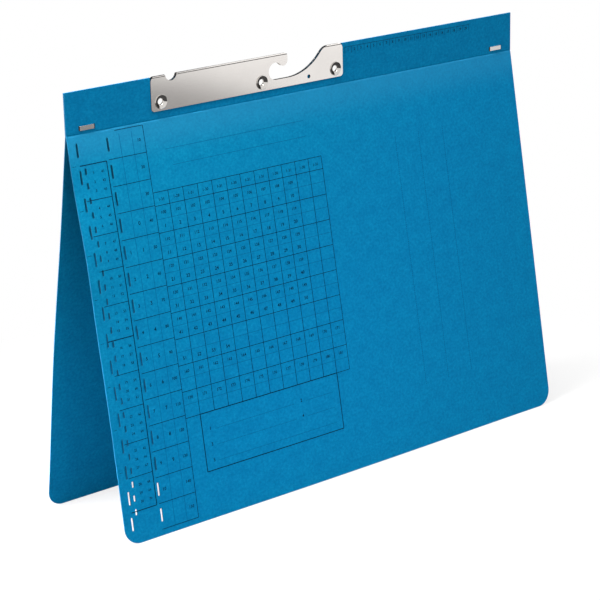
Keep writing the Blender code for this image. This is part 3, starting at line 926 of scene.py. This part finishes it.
table_drops = [TABLE_FIRST + TABLE_PITCH * n for n in range(TABLE_ROWS)]
for drop in table_drops:
    rules.across(TABLE_LEFT, TABLE_RIGHT, drop, THIN)
rules.across(TABLE_HEAD_LEFT, TABLE_RIGHT, TABLE_TOP, THIN)
rules.down(TABLE_RIGHT, TABLE_TOP, table_drops[-1], THIN)
for x in TABLE_COLUMNS:
    faint.down(x, TABLE_TOP + COLUMN_START, table_drops[-1], FINE)
for row, drop in enumerate(table_drops):
    middle = drop - TABLE_PITCH / 2
    unit = str(row - UNIT_ROWS[0])
    numbers.number(str(10 * row + 10), TENS[0], middle, TENS[1])
    if row in UNIT_ROWS:
        numbers.number(unit, UNITS[0], middle, UNITS[1])
    if row in COUNT_ROWS:
        numbers.number(unit, COUNTS[0], middle, COUNTS[1])

for row in range(BLOCK_ROWS + 1):
    drop = BLOCK_TOP + BLOCK_PITCH * row
    if row % (BLOCK_ROWS // 2) == 0:
        rules.across(BLOCK_LEFT, BLOCK_RIGHT, drop, THICK)
    else:
        rules.across(BLOCK_LEFT + BLOCK_INSET, BLOCK_RIGHT, drop, THIN)
    if row < BLOCK_ROWS:
        for line in range(BLOCK_LINES):
            count = BLOCK_LINES * row + line + 1
            middle = drop + BLOCK_LINE + BLOCK_LINE * line
            for x, more in BLOCK_NUMBERS.items():
                numbers.number(str(count + more), x, middle, BLOCK_NUMBER_SIZE)
rules.down(BLOCK_RIGHT, BLOCK_TOP, BLOCK_TOP + BLOCK_PITCH * BLOCK_ROWS, THICK)
for n in range(MARK_COUNT):
    rules.across(MARK_LEFT, MARK_RIGHT, MARK_TOP + MARK_PITCH * n, FINE)

# Calendar grid

GRID_LEFT = TABLE_RIGHT
GRID_STEP = 9.625
GRID_HEAD = 37.2
GRID_TOP = 44.3
GRID_PITCH = 14.25
GRID_ROWS = 8
GRID_COLUMNS = 12
GRID_FILL = [(10, 10)] * 5 + [(0, 4)] + [(12, 0)] * 2  # numbers in each row's upper and lower half
HEAD_NUMBER = (3.9, 2.2)  # drop below the line above it, and size
UPPER_NUMBER = (3.7, 2.3)
LOWER_NUMBER = (10.8, 2.6)
MONTH_DAYS = (31, 28, 31, 30, 31, 30, 31, 31, 30, 31, 30, 31)
grid_right = GRID_LEFT + GRID_STEP * GRID_COLUMNS
grid_foot = GRID_TOP + GRID_PITCH * GRID_ROWS
grid_middles = [GRID_LEFT + GRID_STEP * (n + 0.5) for n in range(GRID_COLUMNS)]
rules.across(GRID_LEFT, grid_right, GRID_HEAD, THIN)
for row in range(GRID_ROWS + 1):
    rules.across(GRID_LEFT, grid_right, GRID_TOP + GRID_PITCH * row, THIN)
for n in range(1, GRID_COLUMNS + 1):
    rules.down(GRID_LEFT + GRID_STEP * n, GRID_HEAD, grid_foot, THIN)
for x, days in zip(grid_middles, MONTH_DAYS):
    numbers.number(f"1-{days}", x, GRID_HEAD + HEAD_NUMBER[0], HEAD_NUMBER[1])
for row, (upper, lower) in enumerate(GRID_FILL):
    top = GRID_TOP + GRID_PITCH * row
    faint.across(GRID_LEFT, grid_right, top + GRID_PITCH / 2, FINE)
    for n, x in enumerate(grid_middles[:upper]):
        numbers.number(str(100 + 10 * row + n), x, top + UPPER_NUMBER[0], UPPER_NUMBER[1])
    for n, x in enumerate(grid_middles[:lower]):
        numbers.number(str(10 * row + n + 1), x, top + LOWER_NUMBER[0], LOWER_NUMBER[1])

# Form box

BOX_LEFT = GRID_LEFT + GRID_STEP
BOX_RIGHT = GRID_LEFT + GRID_STEP * (GRID_COLUMNS - 1)
BOX_TOP = grid_foot
BOX_FOOT = 190.2
BOX_HALVES = ((65.5, 121.3), (128.8, 149.7))
BOX_LINES = {168.2: BOX_HALVES, 176.9: BOX_HALVES, 185.6: ((65.5, 149.7),)}
BOX_NUMBER_PLACE = (3.2, 0.9)  # left of a dotted line's start, and above the line
BOX_NUMBER_SIZE = 2.6
DOTS_ACROSS = (0.95, 0.6, 0.32)  # pitch, length and weight
for drop in (BOX_TOP, BOX_FOOT):
    rules.across(BOX_LEFT, BOX_RIGHT, drop, THICK)
for x in (BOX_LEFT, BOX_RIGHT):
    rules.down(x, BOX_TOP, BOX_FOOT, THICK)
count = 0
for drop, runs in BOX_LINES.items():
    for x0, x1 in runs:
        count += 1
        faint.dots_across(x0, x1, drop, *DOTS_ACROSS)
        x = x0 - BOX_NUMBER_PLACE[0]
        numbers.number(str(count), x, drop - BOX_NUMBER_PLACE[1], BOX_NUMBER_SIZE)

# Faint rules and fold marks

TITLE_LINES = {16: 59, 24.8: 62.7}  # drop, and where the line starts
TITLE_RIGHT = 153.5
FOLD_MARKS = (218.9, 237, 256)
FOLD_MARK_TOP = 35.6
FOLD_MARK_FOOT = 181.4
DOTS_DOWN = (1.1, 0.7, 0.38)  # pitch, length and weight
for drop, x in TITLE_LINES.items():
    faint.across(x, TITLE_RIGHT, drop, FINE)
for x in FOLD_MARKS:
    faint.dots_down(x, FOLD_MARK_TOP, FOLD_MARK_FOOT, *DOTS_DOWN)

rules.finish("cover_rules", ink)
numbers.finish("cover_numbers", ink)
faint.finish("cover_faint_rules", faint_ink)

# Scale on the strip

SCALE_LEFT = 187.5
SCALE_STEP = 4.8
SCALE_COUNT = 20
SCALE_INSET = 2.6  # below the strip's top edge
SCALE_TOP = SCALE_INSET - STRIP_HEIGHT / MM
SCALE_HEIGHT = 3.6
SCALE_NUMBER_SIZE = 2.2
scale = Print()
scale.across(SCALE_LEFT, SCALE_LEFT + SCALE_STEP * SCALE_COUNT, SCALE_TOP, FINE)
for n in range(SCALE_COUNT + 1):
    scale.down(SCALE_LEFT + SCALE_STEP * n, SCALE_TOP, SCALE_TOP + SCALE_HEIGHT, FINE)
    if n < SCALE_COUNT:
        x = SCALE_LEFT + SCALE_STEP * (n + 0.5)
        scale.number(str(n + 1), x, SCALE_TOP + SCALE_HEIGHT / 2, SCALE_NUMBER_SIZE)
scale.finish("strip_scale", ink, "spine")

# Rivets


def quarter(steps, first=0.0):
    """Angles up to a quarter turn, from the first one on."""
    return [first + (math.pi / 2 - first) * n / steps for n in range(steps + 1)]


def trumpet(crest, rise, slope=0.0):
    """A rivet's flare down to its bore, as radius and height over the seat; it starts at a slope."""
    width = crest - RIVET_BORE
    fall = rise + FLARE_DEPTH
    share = slope * width / fall
    first = math.asin(share / (1 - share))
    wide = width / (1 - math.sin(first))
    deep = fall / math.cos(first)
    return [
        (RIVET_BORE + wide * (1 - math.sin(t)), deep * math.cos(t) - FLARE_DEPTH)
        for t in quarter(FLARE_STEPS, first)
    ]


def make_rivet(name, place):
    """A tube flared at both ends, turned round its own axis: its head in front, its clinch behind."""
    slope = (HEAD_RISE - HEAD_NECK[1]) / (HEAD_CREST - HEAD_NECK[0])
    rim = [(HEAD_RIM, 0), (HEAD_RIM, HEAD_WALL), (HEAD_CREST, HEAD_RISE)]
    head = rim + trumpet(*HEAD_NECK, slope)
    curl = [
        (CLINCH_CREST + (CLINCH_RIM - CLINCH_CREST) * math.cos(t), CLINCH_RISE * math.sin(t))
        for t in quarter(CURL_STEPS)
    ]
    clinch = curl + trumpet(CLINCH_CREST, CLINCH_RISE)[1:]
    front = [(radius, -RIVET_SEAT - height) for radius, height in [(RIVET_TUBE, 0), *head]]
    back = [(radius, RIVET_SEAT + height) for radius, height in [(RIVET_TUBE, 0), *clinch]]
    profile = front + back[::-1]
    shape = bmesh.new()
    corners = [shape.verts.new((radius, depth, 0)) for radius, depth in profile]
    edges = [shape.edges.new(pair) for pair in zip(corners, corners[1:] + corners[:1])]
    bmesh.ops.spin(
        shape,
        geom=corners + edges,
        axis=(0, 1, 0),
        angle=math.tau,
        steps=RIVET_SIDES,
        use_merge=True,
    )
    bmesh.ops.recalc_face_normals(shape, faces=shape.faces)
    bmesh.ops.translate(shape, verts=shape.verts, vec=place)
    return add_object(name, mesh_of(name, shape, SHARP_RIVET), [bright_nickel])


for side, x in RIVET_PLACES.items():
    place = (HANGER_LEFT + x, 0, CREASE_HEIGHT + HANGER_TOP - RIVET_DEPTH)
    rivet = make_rivet("rivet_" + side + "_flared", place)
    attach(rivet, "spine")
    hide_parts("rivet_" + side)

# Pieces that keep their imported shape: material and width of their softened edges

WELD_REACH = 0.001 * MM
EDGE_SEGMENTS = 2
EDGE_ANGLE = math.radians(40)
FACE_WEIGHT = 100

finishes = {
    "hanger": (nickel, 0.07 * MM),
    "staple_left": (wire, 0.1 * MM),
    "staple_right": (wire, 0.1 * MM),
    "fastener_tongue": (soft_steel, 0.06 * MM),
    "fastener_holder": (holder_card, 0.05 * MM),
    "fastener_bar": (tin, 0.06 * MM),
    "slide_lock_left": (lock_steel, 0.05 * MM),
    "slide_lock_right": (lock_steel, 0.05 * MM),
}
for name, (material, edge) in finishes.items():
    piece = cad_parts[name]
    for place in piece.material_slots:
        place.material = material
    weld = piece.modifiers.new("weld", "WELD")
    weld.merge_threshold = WELD_REACH
    bevel = piece.modifiers.new("edges", "BEVEL")
    bevel.width = edge
    bevel.segments = EDGE_SEGMENTS
    bevel.limit_method = "ANGLE"
    bevel.angle_limit = EDGE_ANGLE
    bevel.harden_normals = True
    if material in (tin, soft_steel, lock_steel):
        flats = piece.modifiers.new("flats", "WEIGHTED_NORMAL")
        flats.weight = FACE_WEIGHT

# Camera

CAMERA_PLACE = (-0.754, -0.8924, 0.458)
CAMERA_YAW = math.radians(39.914)
CAMERA_PITCH = math.radians(17.382)
CAMERA_ROLL = math.radians(-1.277)
CAMERA_LENS = 129.95
SENSOR = 36
CLIP = (0.05, 50)

ahead = Vector(
    (
        math.sin(CAMERA_YAW) * math.cos(CAMERA_PITCH),
        math.cos(CAMERA_YAW) * math.cos(CAMERA_PITCH),
        -math.sin(CAMERA_PITCH),
    )
)
level = Vector((math.cos(CAMERA_YAW), -math.sin(CAMERA_YAW), 0))
above = level.cross(ahead)
right = level * math.cos(CAMERA_ROLL) + above * math.sin(CAMERA_ROLL)
up = above * math.cos(CAMERA_ROLL) - level * math.sin(CAMERA_ROLL)
camera_data = bpy.data.cameras.new("camera")
camera_data.lens = CAMERA_LENS
camera_data.sensor_width = SENSOR
camera_data.clip_start = CLIP[0]
camera_data.clip_end = CLIP[1]
camera = bpy.data.objects.new("camera", camera_data)
turned = Matrix((right, up, -ahead)).transposed().to_4x4()
camera.matrix_world = Matrix.Translation(CAMERA_PLACE) @ turned
bpy.context.scene.collection.objects.link(camera)
bpy.context.scene.camera = camera

# Floor, background and lamps


def seen_directly(tree):
    """1 for the rays that show the background: from the camera, in metal or through glass."""
    path = tree.nodes.new("ShaderNodeLightPath")
    total = path.outputs["Is Camera Ray"]
    for name in ("Is Glossy Ray", "Is Transmission Ray"):
        larger = tree.nodes.new("ShaderNodeMath")
        larger.operation = "MAXIMUM"
        tree.links.new(total, larger.inputs[0])
        tree.links.new(path.outputs[name], larger.inputs[1])
        total = larger.outputs[0]
    return total


FLOOR_REACH = 6.0
FLOOR_PARTS = 4
FLOOR_DROP = 0.2 * MM
FLOOR_FADE = (0.13, 0.3, 0.74, 1.0)  # near and far reach, and how much of the floor glows there
AMBIENT = 0.5
FLOOR_BOUNCE = 0.15  # of the light that the floor throws back at the folder
FLOOR_PAPER = 0.8

floor_shape = bmesh.new()
bmesh.ops.create_grid(floor_shape, x_segments=FLOOR_PARTS, y_segments=FLOOR_PARTS, size=FLOOR_REACH)
floor_material = bpy.data.materials.new("pale_floor")
floor_material.use_nodes = True
tree = floor_material.node_tree
tree.nodes.clear()
paper = tree.nodes.new("ShaderNodeBsdfDiffuse")
paper_tone = mixed(tree, "MIX", seen_directly(tree), grey(FLOOR_BOUNCE), grey(FLOOR_PAPER))
tree.links.new(paper_tone, paper.inputs["Color"])
glow = node(tree, "ShaderNodeEmission", Color=(1, 1, 1, 1), Strength=1.0)
middle = tree.nodes.new("ShaderNodeTexCoord").outputs["Object"]
away = tree.nodes.new("ShaderNodeVectorMath")
away.operation = "LENGTH"
tree.links.new(middle, away.inputs[0])
share = product(tree, seen_directly(tree), ranged(tree, away.outputs["Value"], *FLOOR_FADE))
both = tree.nodes.new("ShaderNodeMixShader")
tree.links.new(share, both.inputs[0])
tree.links.new(paper.outputs[0], both.inputs[1])
tree.links.new(glow.outputs[0], both.inputs[2])
surface = tree.nodes.new("ShaderNodeOutputMaterial")
tree.links.new(both.outputs[0], surface.inputs["Surface"])
floor = add_object("floor", mesh_of("floor", floor_shape), [floor_material])
floor.location.z = -FLOOR_DROP

world = bpy.data.worlds.new("studio")
world.use_nodes = True
tree = world.node_tree
background = tree.nodes["Background"]
background.inputs["Color"].default_value = (1, 1, 1, 1)
strength = tree.nodes.new("ShaderNodeMapRange")
strength.inputs["To Min"].default_value = AMBIENT
strength.inputs["To Max"].default_value = 1.0
tree.links.new(seen_directly(tree), strength.inputs["Value"])
tree.links.new(strength.outputs[0], background.inputs["Strength"])
bpy.context.scene.world = world


def lamp(name, place, aim, size, power, spread=180):
    """A soft lamp that points at a place, with the spread of its beam in degrees."""
    data = bpy.data.lights.new(name, "AREA")
    data.shape = "RECTANGLE"
    data.size, data.size_y = size
    data.energy = power
    data.spread = math.radians(spread)
    made = bpy.data.objects.new(name, data)
    made.location = place
    made.rotation_mode = "QUATERNION"
    made.rotation_quaternion = (Vector(aim) - Vector(place)).to_track_quat("-Z", "Y")
    bpy.context.scene.collection.objects.link(made)
    return made


# Lamps: place, aim, size and power, and the beam's spread where it is narrow

lamp("key", (-0.39, 0.03, 0.83), (0, 0, 0.1), (0.3, 0.3), power=14.3)
lamp("top", (-0.13, -0.25, 0.85), (0, 0, 0.1), (0.3, 0.3), power=2.6)
front = lamp("front", (-0.15, -0.9, 0.12), (0, 0, 0.06), (0.4, 0.2), power=1.08)
bounce = lamp("bounce", (-0.1, -0.9, 0.1), (0.03, -0.03, 0), (0.2, 0.2), power=0.015, spread=18)
inner = lamp("inner", (-0.6, -0.005, 0.05), (-0.15, 0.03, 0.05), (0.2, 0.08), power=0.43, spread=40)
for fill in (front, bounce, inner):
    fill.visible_glossy = False
lamp("glint", (0.95, -0.12, 1.4), (0, 0, 0.22), (0.9, 0.3), power=1.3)


def glossy_card(name, corners, tones, paper=0.0):
    """A card around the set that shows only in metal; tones are two places on X and the glow at each."""
    mesh = bpy.data.meshes.new(name)
    mesh.from_pydata(corners, [], [(0, 1, 2, 3)])
    material, tree, shader = shader_of(name)
    along = tree.nodes.new("ShaderNodeSeparateXYZ")
    tree.links.new(tree.nodes.new("ShaderNodeTexCoord").outputs["Object"], along.inputs[0])
    tone = ranged(tree, along.outputs["X"], *tones)
    shader.inputs["Base Color"].default_value = (*grey(paper), 1)
    shader.inputs["Specular IOR Level"].default_value = 0
    shader.inputs["Emission Color"].default_value = (1, 1, 1, 1)
    tree.links.new(tone, shader.inputs["Emission Strength"])
    made = add_object(name, mesh, [material])
    made.visible_camera = False
    made.visible_diffuse = False
    made.visible_transmission = False
    made.visible_shadow = False
    return made


def lying(x0, x1, y0, y1, z):
    """Corners of a level card."""
    return [(x0, y0, z), (x1, y0, z), (x1, y1, z), (x0, y1, z)]


def standing(x0, x1, y, z0, z1):
    """Corners of an upright card that runs along X."""
    return [(x0, y, z0), (x1, y, z0), (x1, y, z1), (x0, y, z1)]


# Cards: most are dark, and the flag lights the flat metal alone, so that the rivets show it dark

DARK = (0, 1, 0.03, 0.03)
FLOOR_TONES = (0.44, 0.74, 0.3, 1.2)
FLAG_TONES = (-0.026, 0.077, 0.35, 1.0)
FLAG_PAPER = 0.026
glossy_card("floor_shade", lying(-0.6, 2.2, -1.5, -0.46, 0.003), FLOOR_TONES)
flag = glossy_card("flag", lying(-0.16, 0.32, -0.16, -0.007, 0.195), FLAG_TONES, FLAG_PAPER)
flat_metal = bpy.data.collections.new("flat_metal")
for name in ("hanger", "staple_left", "staple_right"):
    flat_metal.objects.link(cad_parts[name])
flag.light_linking.receiver_collection = flat_metal
side_corners = [(1.7, -1.6, 0), (1.7, 1.3, 0), (1.7, 1.3, 0.7), (1.7, -1.6, 0.7)]
glossy_card("side_shade", side_corners, DARK)
glossy_card("front_shade", standing(0.85, 2.8, -1.6, 0, 0.75), DARK)
glossy_card("back_shade", standing(-0.6, 3.2, 1.3, 0.25, 2.6), DARK)
glossy_card("over_shade", lying(-0.6, 3.2, 0.25, 1.3, 2.6), DARK)

bpy.context.scene.view_settings.view_transform = "Standard"
